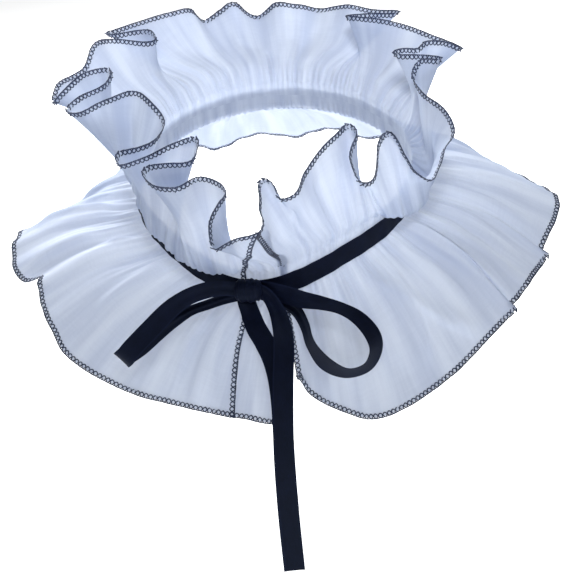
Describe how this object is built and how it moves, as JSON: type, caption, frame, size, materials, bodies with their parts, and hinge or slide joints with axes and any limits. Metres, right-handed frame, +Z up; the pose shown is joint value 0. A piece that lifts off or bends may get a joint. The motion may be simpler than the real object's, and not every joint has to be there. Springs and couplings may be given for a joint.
{
  "type": "ruff collar",
  "caption": "Sheer ruffled neck collar gathered under a dark satin ribbon tied in a front bow, worn pose, hollow for the neck.",
  "frame": {"origin": "middle of the neck ring, the oval line on which the cloth is gathered", "axes": "+Z up, -Y to the wearer's front where the bow is, +X to the wearer's left"},
  "size_m": [0.2874, 0.2313, 0.2475],
  "materials": {
    "sheer_cloth": "sheer crisp weave, soft sheen, dark overlocked edges",
    "satin_ribbon": "satin"
  },
  "bodies": {
    "root": {"upper_ruffle": "sheer_cloth", "lower_ruffle": "sheer_cloth", "neck_ribbon": "satin_ribbon", "bow_knot": "satin_ribbon", "bow_loop_left": "satin_ribbon", "bow_loop_right": "satin_ribbon", "bow_tail_front": "satin_ribbon", "bow_tail_back": "satin_ribbon"}
  },
  "joints": []
}
